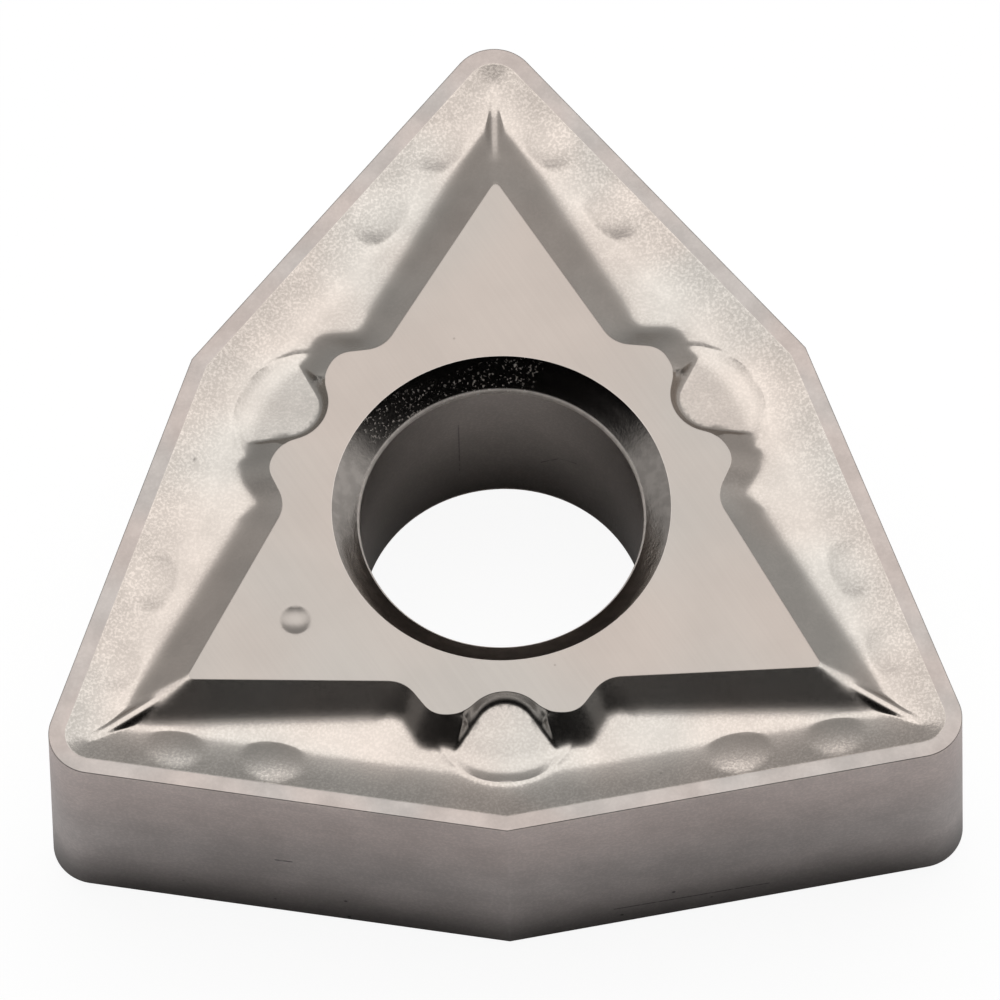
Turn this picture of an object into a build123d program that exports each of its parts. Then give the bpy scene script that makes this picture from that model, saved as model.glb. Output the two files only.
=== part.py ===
# Double-sided trigon turning insert of sintered carbide, pressed as one piece.
# Origin at the bore centre at mid-thickness, one nose on +Y, +Z along the bore.
# Each face carries a flat land behind the cutting edges, a chip groove, a raised
# seat with three lobes, a crest along each nose, pockets at the blunt corners and
# a pair of chip bumps on every cutting edge. All sizes are in millimetres.

import os
from math import atan2, cos, degrees, radians, sin, tan

from build123d import *

# Blank
inscribed_circle = 12.7
nose_angle = 80
nose_radius = 0.8
seat_to_edge = 4.76
seat_rise = 0.16

# Chip groove, measured square to the cutting edge and down from the land
land_width = 0.30
rake_width = 0.25
rake_angle = 15
ease_width = 0.53
inner_rake_angle = 9
turn_width = 0.18
floor_width = 0.84
floor_angle = 5

# Raised seat, set in from the noses and from the blunt corners
lobe_angle = 63.6
lobe_tip_inset = 2.07
lobe_tip_radius = 0.10
lobe_tip_foot_radius = 0.25
lobe_wall_angle = 24
boss_inset = 2.30
boss_half_width = 1.31
boss_flank_angle = 36
boss_wall_angle = 32
boss_corner_radius = 0.24
notch_radius = 0.45
notch_foot_radius = 0.12
seat_foot_depth = 0.45

# Crest from the tip of each lobe to the nose
crest_width = 0.10
crest_drop = 0.098
crest_fall_angle = 6.5
crest_side_angle = 40
crest_height = 0.25
crest_end_inset = 0.60

# Pocket at each blunt corner
pocket_inset = 1.958
pocket_radius = 0.78
pocket_flare_angle = 40
dish_inset = 2.418
dish_depth = 0.212
dish_fall_angle = 7
dish_flat_radius = 0.57
dish_round_radius = 1.6
dish_rim_angle = 60

# Chip bumps, placed along the cutting edge from the blunt corner
bump_radius = 3.4
bump_lean_angle = 12
bump_crown_depth = 0.007
bump_cutter_radius = 0.75
blunt_bump_station = 4.43
blunt_bump_inset = 0.825
nose_bump_station = 6.22
nose_bump_inset = 0.775

# Bore with its countersinks, and the round mark pressed into one lobe
bore_diameter = 5.16
countersink_diameter = 6.16
countersink_depth = 0.45
bore_edge_radius = 0.12
mark_diameter = 0.57
mark_reach = 4.35
mark_depth = 0.055

# Worked out from the sizes above
half_circle = inscribed_circle / 2
half_nose = nose_angle / 2
half_blunt = 120 - half_nose
edge_height = (seat_to_edge - seat_rise) / 2
seat_height = edge_height + seat_rise
nose_reach = half_circle / sin(radians(half_nose))
blunt_reach = half_circle / sin(radians(half_blunt))
nose_centre_reach = nose_reach - nose_radius / sin(radians(half_nose))
lobe_tip_reach = nose_reach - lobe_tip_inset / sin(radians(half_nose))
boss_reach = blunt_reach - boss_inset
pocket_reach = blunt_reach - pocket_inset
dish_centre_reach = blunt_reach - dish_inset
dish_reach = dish_flat_radius + dish_round_radius * sin(radians(dish_rim_angle))
bump_shift = bump_radius * sin(radians(bump_lean_angle))
mark_ball_radius = (mark_diameter**2 / 4 + mark_depth**2) / (2 * mark_depth)
nose_direction = 90
blunt_direction = 30
nose_directions = [nose_direction + 120 * i for i in range(3)]
cutter_top = 1.0
match_tolerance = 1e-6


def polar(reach, direction, height=0.0):
    """Point at a reach from the bore axis, its direction counted from +X."""
    angle = radians(direction)
    return Vector(reach * cos(angle), reach * sin(angle), height)


def crossing(normal_a, reach_a, normal_b, reach_b):
    """Point where two lines meet, each given by its normal and its reach."""
    turn = sin(radians(normal_b - normal_a))
    x = (reach_a * sin(radians(normal_b)) - reach_b * sin(radians(normal_a))) / turn
    y = (reach_b * cos(radians(normal_a)) - reach_a * cos(radians(normal_b))) / turn
    return Vector(x, y)


# One half of a nose is drawn, right of +Y, and mirrored. Its cutting edge lies
# square to edge_out and runs along edge_run from the blunt corner to the nose.
edge_out = polar(1, half_nose)
edge_run = polar(1, half_nose + 90)
edge_start = half_circle * tan(radians(90 - half_blunt))
groove_plane = Plane(
    origin=edge_out * half_circle + Vector(0, 0, edge_height),
    x_dir=-edge_out,
    z_dir=edge_run,
)
nose_centre = Vector(0, nose_centre_reach, 0)


def edge_point(station, inset, height):
    """Point by its station along the cutting edge and its inset from it."""
    flat = edge_out * (half_circle - inset) + edge_run * (station - edge_start)
    return Vector(flat.X, flat.Y, height)


# Chip groove section: x is the inset from the cutting edge, y the height over the land.
# Two rounds follow the straight rake: a wide one that eases it, then the bottom.
rake_sine = sin(radians(rake_angle))
inner_sine = sin(radians(inner_rake_angle))
ease_radius = ease_width / (rake_sine - inner_sine)
turn_radius = turn_width / (inner_sine + sin(radians(floor_angle)))
rake_end = land_width + rake_width
floor_end = rake_end + ease_width + turn_width + floor_width
rake_direction = (cos(radians(rake_angle)), -rake_sine)
inner_direction = (cos(radians(inner_rake_angle)), -inner_sine)

with BuildSketch() as groove_section:
    with BuildLine():
        rake_drop = rake_width * tan(radians(rake_angle))
        rake = Polyline(
            (land_width, cutter_top),
            (land_width, 0),
            (rake_end, -rake_drop),
        )
        ease = JernArc(rake @ 1, rake_direction, ease_radius, rake_angle - inner_rake_angle)
        turn = JernArc(ease @ 1, inner_direction, turn_radius, inner_rake_angle + floor_angle)
        floor_rise = floor_width * tan(radians(floor_angle))
        floor_height = (turn @ 1).Y + floor_rise
        Polyline(
            turn @ 1,
            (floor_end, floor_height),
            (half_circle, floor_height),
            (half_circle, cutter_top),
            (land_width, cutter_top),
        )
    make_face()

# Straight groove along one half edge, mitred on the nose line and the blunt line
with BuildPart() as half_groove:
    with BuildSketch(groove_plane):
        add(groove_section.sketch)
    extrude(amount=nose_reach, both=True)
    split(bisect_by=Plane.YZ, keep=Keep.TOP)
    blunt_cut = Plane(origin=(0, 0, 0), x_dir=(0, 0, 1), z_dir=polar(1, blunt_direction + 90))
    split(bisect_by=blunt_cut, keep=Keep.TOP)
    round_cut = Plane(origin=nose_centre, x_dir=(0, 0, 1), z_dir=edge_run)
    split(bisect_by=round_cut, keep=Keep.BOTTOM)

# The groove round the nose, swung about the centre of the nose radius
nose_plane = Plane(
    origin=nose_centre + Vector(0, 0, edge_height),
    x_dir=-edge_out,
    z_dir=edge_run,
)
with BuildPart() as nose_groove:
    with BuildSketch(nose_plane):
        with Locations((-nose_radius, 0)):
            add(groove_section.sketch)
        Rectangle(
            nose_radius,
            2 * cutter_top,
            align=(Align.MAX, Align.CENTER),
            mode=Mode.INTERSECT,
        )
    revolve(axis=Axis(nose_centre, (0, 0, 1)), revolution_arc=180 - nose_angle)


def across_blunt(point):
    """Mirror image of a plan point over the line through the blunt corner."""
    direction = degrees(atan2(point.Y, point.X))
    return polar(point.length, 2 * blunt_direction - direction)


def seat_outline(depth):
    """Corners and corner radii of the raised seat at a depth below its face."""
    lobe_spread = depth / tan(radians(lobe_wall_angle))
    boss_spread = depth / tan(radians(boss_wall_angle))
    half_lobe = lobe_angle / 2
    lobe_line = lobe_tip_reach * sin(radians(half_lobe)) + lobe_spread
    flank_normal = blunt_direction + 90 - boss_flank_angle
    boss_corner = polar(boss_reach, blunt_direction) + polar(boss_half_width, blunt_direction + 90)
    flank_line = boss_corner.dot(polar(1, flank_normal)) + boss_spread
    tip = polar(lobe_line / sin(radians(half_lobe)), nose_direction)
    notch = crossing(half_lobe, lobe_line, flank_normal, flank_line)
    corner = crossing(flank_normal, flank_line, blunt_direction, boss_reach + boss_spread)
    share = depth / seat_foot_depth
    tip_round = lobe_tip_radius + (lobe_tip_foot_radius - lobe_tip_radius) * share
    notch_fill = notch_radius + (notch_foot_radius - notch_radius) * share
    third = [tip, notch, corner, across_blunt(corner), across_blunt(notch)]
    rounds = [tip_round, notch_fill, boss_corner_radius, boss_corner_radius, notch_fill]
    corners = [point.rotate(Axis.Z, -120 * turn) for turn in range(3) for point in third]
    return corners, rounds * 3


def is_bore_rim(edge):
    """True for a full circle of the bore's own radius."""
    return abs(edge.radius - bore_diameter / 2) < match_tolerance


# Chip groove of one nose, both edges and the round between them
with BuildPart() as groove:
    add(half_groove.part)
    mirror(about=Plane.YZ)
    add(nose_groove.part)

# Raised seat: three lobes and three boss blocks, walls sloping down to the groove
with BuildPart() as seat:
    for depth in (seat_foot_depth, 0):
        outline, rounds = seat_outline(depth)
        with BuildSketch(Plane.XY.offset(seat_height - depth)):
            with BuildLine():
                FilletPolyline(outline, radius=rounds, close=True)
            make_face()
    loft(ruled=True)

# Crest that runs from the foot of the lobe tip down into the groove at the nose
crest_end = nose_centre_reach + nose_radius - crest_end_inset
crest_plane = Plane(
    origin=(0, lobe_tip_reach, seat_height - crest_drop),
    x_dir=(-1, 0, 0),
    z_dir=(0, cos(radians(crest_fall_angle)), -sin(radians(crest_fall_angle))),
)
with BuildPart() as crest:
    with BuildSketch(crest_plane):
        crest_foot = crest_width / 2 + crest_height / tan(radians(crest_side_angle))
        with BuildLine():
            Polyline(
                (-crest_width / 2, 0),
                (crest_width / 2, 0),
                (crest_foot, -crest_height),
                (-crest_foot, -crest_height),
                close=True,
            )
        make_face()
    extrude(amount=crest_end - lobe_tip_reach)


def chip_bump(station, inset):
    """Part of a large ball that leans with the rake and stands out of it."""
    place = edge_point(station, inset, edge_height)
    ball = edge_point(station, inset - bump_shift, edge_height - bump_crown_depth - bump_radius)
    with BuildPart() as bump:
        with Locations(place):
            Cylinder(bump_cutter_radius, cutter_top)
        with Locations(ball):
            Sphere(bump_radius, mode=Mode.INTERSECT)
    return bump.part


# The chip bumps of one nose, two on each of its cutting edges
with BuildPart() as bumps:
    add(chip_bump(blunt_bump_station, blunt_bump_inset))
    add(chip_bump(nose_bump_station, nose_bump_inset))
    mirror(about=Plane.YZ)

# Dished floor of a pocket, a swept round that leans away from the bore
dish_lean = radians(dish_fall_angle)
dish_centre = Vector(dish_centre_reach, 0, edge_height - dish_depth)
with BuildPart() as dish:
    with BuildSketch(Plane(dish_centre, (cos(dish_lean), 0, -sin(dish_lean)), (0, -1, 0))):
        with BuildLine():
            flat = Line((0, 0), (dish_flat_radius, 0))
            side = JernArc(flat @ 1, (1, 0), dish_round_radius, dish_rim_angle)
            Polyline(side @ 1, (dish_reach, 2 * cutter_top), (0, 2 * cutter_top), (0, 0))
        make_face()
    revolve(axis=Axis(dish_centre, (sin(dish_lean), 0, cos(dish_lean))))

# Cutter for a blunt corner pocket: dished floor, upright back wall, flared sides
with BuildPart() as pocket:
    with BuildSketch(Plane.XY.offset(edge_height)):
        with Locations((pocket_reach, 0)):
            Circle(pocket_radius)
        flare_x = pocket_reach - pocket_radius * sin(radians(pocket_flare_angle))
        flare_y = pocket_radius * cos(radians(pocket_flare_angle))
        mouth_y = flare_y + (blunt_reach - flare_x) * tan(radians(pocket_flare_angle))
        with BuildLine():
            Polyline(
                (flare_x, flare_y),
                (blunt_reach, mouth_y),
                (blunt_reach, -mouth_y),
                (flare_x, -flare_y),
                close=True,
            )
        make_face()
    extrude(amount=cutter_top, both=True)
    add(dish.part, mode=Mode.INTERSECT)

# The insert: the upper half is pressed to shape, then mirrored to the lower face
with BuildPart() as insert:
    with BuildSketch():
        with BuildLine():
            blank_corners = [
                polar(reach, direction + turn)
                for direction in nose_directions
                for reach, turn in ((nose_reach, 0), (blunt_reach, 60))
            ]
            FilletPolyline(blank_corners, radius=[nose_radius, 0] * 3, close=True)
        make_face()
    extrude(amount=edge_height)
    with PolarLocations(0, 3):
        add(groove.part, mode=Mode.SUBTRACT)
    add(seat.part)
    with PolarLocations(0, 3):
        add(crest.part)
    with PolarLocations(0, 3):
        add(bumps.part)
    with PolarLocations(0, 3, start_angle=blunt_direction):
        add(pocket.part, mode=Mode.SUBTRACT)
    mark_height = seat_height - mark_depth + mark_ball_radius
    with Locations(polar(mark_reach, nose_direction + 120, mark_height)):
        Sphere(mark_ball_radius, mode=Mode.SUBTRACT)
    mirror(about=Plane.XY)
    Hole(bore_diameter / 2)
    chamfer(
        insert.edges().filter_by(GeomType.CIRCLE).filter_by(is_bore_rim),
        length=countersink_depth,
        length2=(countersink_diameter - bore_diameter) / 2,
        reference=insert.faces().filter_by(GeomType.CYLINDER).sort_by(SortBy.AREA)[-1],
    )
    fillet(
        insert.edges().filter_by(GeomType.CIRCLE).filter_by(is_bore_rim),
        radius=bore_edge_radius,
    )

insert.part.label = "insert"
os.makedirs("parts", exist_ok=True)
export_step(insert.part, "parts/insert.step")
print("volume", round(insert.part.volume, 2), "solids", len(insert.part.solids()))
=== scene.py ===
"""Looks of a double-sided trigon carbide turning insert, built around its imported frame."""

from math import cos, pi, radians, sin, sqrt, tan

import bpy
import numpy as np
from bpy.props import FloatProperty, FloatVectorProperty, PointerProperty
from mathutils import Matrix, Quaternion, Vector
from mathutils.geometry import delaunay_2d_cdt


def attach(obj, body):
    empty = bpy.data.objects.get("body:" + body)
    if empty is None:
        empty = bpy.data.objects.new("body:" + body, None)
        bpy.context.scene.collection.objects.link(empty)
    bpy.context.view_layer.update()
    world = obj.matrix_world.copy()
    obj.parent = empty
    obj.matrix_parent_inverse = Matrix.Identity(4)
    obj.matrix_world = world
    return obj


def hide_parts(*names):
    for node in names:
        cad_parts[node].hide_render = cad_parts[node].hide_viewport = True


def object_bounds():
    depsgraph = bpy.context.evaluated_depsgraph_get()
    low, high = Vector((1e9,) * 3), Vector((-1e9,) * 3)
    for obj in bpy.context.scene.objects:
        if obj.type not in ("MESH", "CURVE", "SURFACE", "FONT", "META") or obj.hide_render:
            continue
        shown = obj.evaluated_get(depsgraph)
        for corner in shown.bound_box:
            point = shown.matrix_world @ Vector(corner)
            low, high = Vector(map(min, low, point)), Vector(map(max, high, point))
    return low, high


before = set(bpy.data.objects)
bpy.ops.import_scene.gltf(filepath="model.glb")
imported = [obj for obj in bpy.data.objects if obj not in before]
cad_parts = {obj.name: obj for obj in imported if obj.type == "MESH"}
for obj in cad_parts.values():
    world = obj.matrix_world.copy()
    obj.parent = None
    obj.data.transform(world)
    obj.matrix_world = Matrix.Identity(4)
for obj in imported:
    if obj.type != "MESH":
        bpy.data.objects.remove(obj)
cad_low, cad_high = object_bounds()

bl_info = {
    "name": "Trigon Carbide Insert",
    "version": (1, 0, 0),
    "blender": (4, 5, 0),
    "location": "View3D > Sidebar > Insert",
    "description": "Builds a pressed and ground trigon carbide insert on a pale studio floor",
    "category": "Object",
}

MM = 0.001
NODE = "insert"
BODY = "root"
INSET = "inset from the edge"
FINISHES = ("pressed groove", "honed land", "ground seat", "flank", "countersink", "bore")
GROOVE, LAND, SEAT, FLANK, COUNTERSINK, BORE = range(6)
BLUNT_TURN = radians(30)
MARK_TURN = radians(210)
SEAT_TOLERANCE = 1e-3 * MM

ORIGIN = (0, 0, 0)
SOCKET_KINDS = {1: "Float", 3: "Vector", 4: "Color"}
COOL_TINT = (0.975, 1.0, 1.01, 1)
WARM_TINT = (1.025, 0.995, 0.985, 1)
WARMTH_SPREAD = 3.0
WARMTH_SHIFT = (0.03, 0.02, 0.01)
USUAL_FLECK = 0.62
PIT_CORE = 0.4
SCRATCH_CORE = 0.3
BREAK_SIZE = 2e-4

# Marks seen on the insert: finish, then start, end and width in millimetres
SCRATCHES = (
    ("flank", (1.91, -6.11, -1.72), (4.73, -5.62, -1.78), 0.022),
    ("flank", (-4.22, -5.70, -0.23), (-3.93, -5.76, -0.22), 0.03),
    ("pressed groove", (-5.53, 1.21, 2.2), (-5.54, 1.23, 2.2), 0.06),
    ("bore", (-0.76, 2.47, 0.9), (-0.76, 2.47, -0.95), 0.02),
    ("bore", (0.73, 2.47, -0.70), (1.05, 2.36, -0.33), 0.022),
    ("bore", (1.05, 2.36, -0.33), (1.37, 2.19, -0.20), 0.022),
)
# Band of sparkling flecks on the countersink: start, end and width in millimetres
SPARKLES = ((-2.3, 1.9, 2.2), (0.5, 2.95, 2.2), 0.5)

# Bands of the room light: part of the direction it comes from, and where it starts and is full
ROOM_BANDS = {
    "behind": ("Y", -0.22, 0.14), "height": ("Z", 0.0, 0.8), "right": ("X", 0.2, 0.9),
    "halo height": ("Z", 0.60, 0.80), "halo width": ("aside", 0.50, 0.20),
    "strip length": ("Y", -0.26, -0.06), "strip width": ("aside", 0.16, 0.04),
    "overhead": ("Z", 0.80, 0.92), "low": ("Z", 0.40, 0.15), "horizon": ("Z", 0.14, 0.04),
}
ROOM_LEVELS = {
    "right": 0.15, "halo": 0.25, "strip": 0.8, "overhead": 0.033, "low": 0.30, "horizon": 0.60,
}
GREY_BEHIND = (0.38, 0.50)
FLOOR_HALF = 3.0
FLOOR_GLOW = 1.08
GLOW_SHARE = 0.86


def length(label, note, size_mm):
    """A length property, given in millimetres and held in metres."""
    return FloatProperty(
        name=label, description=note, default=size_mm * MM, unit="LENGTH", precision=5
    )


def angle(label, note, degrees):
    """An angle property, given in degrees and held in radians."""
    return FloatProperty(name=label, description=note, default=radians(degrees), subtype="ANGLE")


def colour(label, note, red, green, blue):
    """A linear colour property without alpha."""
    return FloatVectorProperty(
        name=label, description=note, default=(red, green, blue), subtype="COLOR",
        size=3, min=0.0, max=1.0,
    )


class BlankSizes(bpy.types.PropertyGroup):
    """Outline and thickness of the pressed blank."""

    inscribed_circle: length("Inscribed circle", "Diameter that touches all six edges", 12.7)
    nose_angle: angle("Nose angle", "Angle between the two edges at a nose", 80)
    nose_radius: length("Nose radius", "Radius of each nose", 0.8)
    edge_hone: length("Edge hone", "Rounding of the cutting edge", 0.018)
    thickness: FloatProperty(
        name="Thickness", description="Height over both ground seats",
        default=cad_high.z - cad_low.z, unit="LENGTH", precision=5,
    )
    seat_rise: length("Seat rise", "Height of the seat over the cutting edge", 0.16)


class GrooveSizes(bpy.types.PropertyGroup):
    """Section of the chip groove, square to the cutting edge."""

    land_width: length("Land width", "Flat land behind the cutting edge", 0.30)
    land_round: length("Land round", "Half width of the round at the land's inner line", 0.022)
    rake_angle: angle("Rake angle", "Slope behind the land", 15)
    rake_end: length("Rake end", "Inset where the rake starts to ease", 0.55)
    inner_rake_angle: angle("Inner rake angle", "Slope just before the bottom", 9)
    turn_start: length("Turn start", "Inset where the bottom round starts", 1.08)
    turn_end: length("Turn end", "Inset where the bottom round ends", 1.26)
    floor_angle: angle("Floor angle", "Rise of the groove towards the seat", 5)
    floor_end: length("Floor end", "Inset where the floor turns level", 2.10)
    floor_round: length("Floor round", "Half width of the round at the floor's end", 0.10)


class SeatSizes(bpy.types.PropertyGroup):
    """Raised seat with its lobes, boss blocks and crests."""

    lobe_angle: angle("Lobe angle", "Angle between the two sides of a lobe", 63.6)
    lobe_tip_inset: length("Lobe tip inset", "Lobe tip from the cutting edges", 2.07)
    lobe_wall_angle: angle("Lobe wall angle", "Slope of the wall along a lobe", 24)
    boss_inset: length("Boss inset", "Boss front from the blunt corner", 2.30)
    boss_half_width: length("Boss half width", "Half the width of the boss block", 1.31)
    boss_flank_angle: angle("Boss flank angle", "Draft of the boss sides in plan", 36)
    boss_wall_angle: angle("Boss wall angle", "Slope of the boss walls", 32)
    tip_blend: length("Tip blend", "Round of the lobe's edge at its tip, in plan", 0.16)
    ridge_blend: length("Ridge blend", "Round of the lobe's edge towards the nose, in plan", 0.36)
    ridge_run: length("Ridge run", "Length over which the edge grows soft", 0.45)
    boss_blend: length("Boss blend", "Round of the boss corners in plan", 0.20)
    horn_blend: length("Horn blend", "Round between boss front and pocket in plan", 0.24)
    edge_blend: length("Edge blend", "Softness of the edge between boss front and pocket", 0.03)
    notch_blend: length("Notch blend", "Round between lobe and boss in plan", 0.25)
    foot_blend: length("Foot blend", "Softness at the foot of the walls", 0.065)
    rim_blend: length("Rim blend", "Softness of the ground rim", 0.003)
    crest_width: length("Crest width", "Flat on top of the crest", 0.13)
    crest_drop: length("Crest drop", "Crest under the seat at the lobe tip", 0.110)
    crest_fall: angle("Crest fall", "Slope of the crest to the nose", 6.8)
    crest_end_drop: length("Crest end drop", "Crest's end line, carried back to the tip", 0.392)
    crest_rise_angle: angle("Crest rise", "Rise of the crest's end into the rake", 3.5)
    crest_side_angle: angle("Crest side angle", "Slope of the crest's sides", 40)
    crest_blend: length("Crest blend", "Softness at the foot of the crest", 0.025)


class PocketSizes(bpy.types.PropertyGroup):
    """Pocket at each blunt corner."""

    pocket_inset: length("Pocket inset", "Pocket centre from the blunt corner", 1.958)
    pocket_radius: length("Pocket radius", "Round of the back wall", 0.78)
    pocket_flare: angle("Pocket flare", "Half angle of the pocket's mouth", 40)
    dish_inset: length("Dish inset", "Middle of the dished floor from the blunt corner", 2.418)
    dish_flat: length("Dish flat", "Radius of the even middle of the floor", 0.80)
    dish_radius: length("Dish radius", "Round of the floor up to the lip", 1.19)
    dish_fall: angle("Dish fall", "Slope of the floor away from the bore", 10.4)
    dish_spread: FloatProperty(
        name="Dish spread", description="Width of the floor over its length", default=1.6
    )
    dish_depth: length("Dish depth", "Middle of the floor under the land", 0.053)
    wall_angle: angle("Wall angle", "Slope of the back wall", 58)
    wall_blend: length("Wall blend", "Softness at the foot of the back wall", 0.09)
    lip_blend: length("Lip blend", "Softness of the floor's lip", 0.006)
    bead_radius: length("Bead radius", "Round of the bead along the lip, in plan", 1.34)
    tongue_reach: length("Tongue reach", "Raised floor's reach from the dish's middle", 0.95)
    tongue_blend: length("Tongue blend", "Rounding of the raised floor's outline", 0.10)
    tongue_angle: angle("Tongue angle", "Slope at the sides of the raised floor", 40)
    lip_angle: angle("Lip angle", "Slope that ends the dished floor outside its lip", 25)
    bead_width: length("Bead width", "Reach of the bead outward from the lip", 0.06)
    bead_run: length("Bead run", "Reach of the bead into the dished floor", 0.13)
    bead_rise: length("Bead rise", "Height of the bead along the lip", 0.017)


class BumpSizes(bpy.types.PropertyGroup):
    """Pairs of chip bumps and the round mark."""

    bump_radius: length("Bump radius", "Ball radius of a chip bump", 3.4)
    bump_lean: angle("Bump lean", "Lean of a bump's axis with the rake", 12)
    bump_blend: length("Bump blend", "Softness of a bump's outline", 0.010)
    crown_depth: length("Crown depth", "Top of the ball under the land", 0.004)
    blunt_station: length("Blunt bump station", "Along the edge from the blunt corner", 4.43)
    blunt_inset: length("Blunt bump inset", "From the cutting edge", 0.825)
    nose_station: length("Nose bump station", "Along the edge from the blunt corner", 6.22)
    nose_inset: length("Nose bump inset", "From the cutting edge", 0.775)
    mark_reach: length("Mark reach", "Round mark from the bore axis", 4.35)
    mark_radius: length("Mark radius", "Radius of the round mark", 0.285)
    mark_depth: length("Mark depth", "Depth of the round mark", 0.055)
    mark_blend: length("Mark blend", "Softness of the round mark's rim", 0.008)


class BoreSizes(bpy.types.PropertyGroup):
    """Bore and countersinks."""

    bore_diameter: length("Bore diameter", "Diameter of the through bore", 5.16)
    sink_diameter: length("Countersink diameter", "Diameter at the seat", 6.16)
    sink_depth: length("Countersink depth", "Depth along the bore", 0.45)
    bore_round: length("Bore edge round", "Rounding between cone and bore", 0.07)
    rim_round: length("Rim round", "Rounding at the seat", 0.006)


SIZE_GROUPS = (BlankSizes, GrooveSizes, SeatSizes, PocketSizes, BumpSizes, BoreSizes)


class FinishColours(bpy.types.PropertyGroup):
    """Colours of the finishes."""

    pressed: colour("Pressed carbide", "Groove, walls and pockets", 0.505, 0.462, 0.421)
    land: colour("Honed land", "Land and rounded cutting edge", 0.375, 0.335, 0.312)
    ground: colour("Ground carbide", "Seat faces", 0.375, 0.337, 0.307)
    flank: colour("Flank", "Upright sides", 0.62, 0.553, 0.53)
    polish: colour("Countersink", "Turned cone of the bore", 0.50, 0.46, 0.425)
    bore: colour("Bore wall", "Inside of the bore", 0.48, 0.43, 0.40)


class StudioSettings(bpy.types.PropertyGroup):
    """Camera, floor and soft light, in the frame of the insert."""

    eye: FloatVectorProperty(
        name="Eye", description="Place of the camera",
        default=(0.00233053, -0.33609852, 0.68164349), subtype="XYZ_LENGTH", unit="LENGTH",
    )
    aim: FloatVectorProperty(
        name="Aim", description="Point in the middle of the picture",
        default=(-0.00002207, 0.00024037, 0.0023), subtype="XYZ_LENGTH", unit="LENGTH",
    )
    roll: angle("Roll", "Turn of the camera about its view", -1.48039)
    lens: FloatProperty(name="Lens", description="Focal length in millimetres", default=1503.152)
    box_centre: FloatVectorProperty(
        name="Softbox", description="Centre of the overhead softbox", default=(0.0, 0.215, 0.6),
        subtype="XYZ_LENGTH", unit="LENGTH",
    )
    box_size: FloatVectorProperty(
        name="Softbox size", description="Width and depth of the softbox", default=(0.96, 0.47),
        size=2, subtype="XYZ_LENGTH", unit="LENGTH",
    )
    box_radiance: FloatProperty(
        name="Softbox radiance", description="Brightness of its face", default=1.0
    )
    floor: colour("Floor", "Pale studio floor", 0.92, 0.92, 0.92)


def soft_max(a, b, blend):
    """The larger of two heights, rounded over where they meet."""
    near = np.maximum(blend - np.abs(a - b), 0.0)
    return np.maximum(a, b) + near * near / (4 * blend)


def soft_min(a, b, blend):
    """The smaller of two heights, rounded over where they meet."""
    return -soft_max(-a, -b, blend)


def between(first, second, lead, blend):
    """Goes over from first to second as the lead of the second crosses zero."""
    share = np.clip(0.5 + lead / (2 * blend), 0, 1)
    return first + (second - first) * share * share * (3 - 2 * share)


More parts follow.
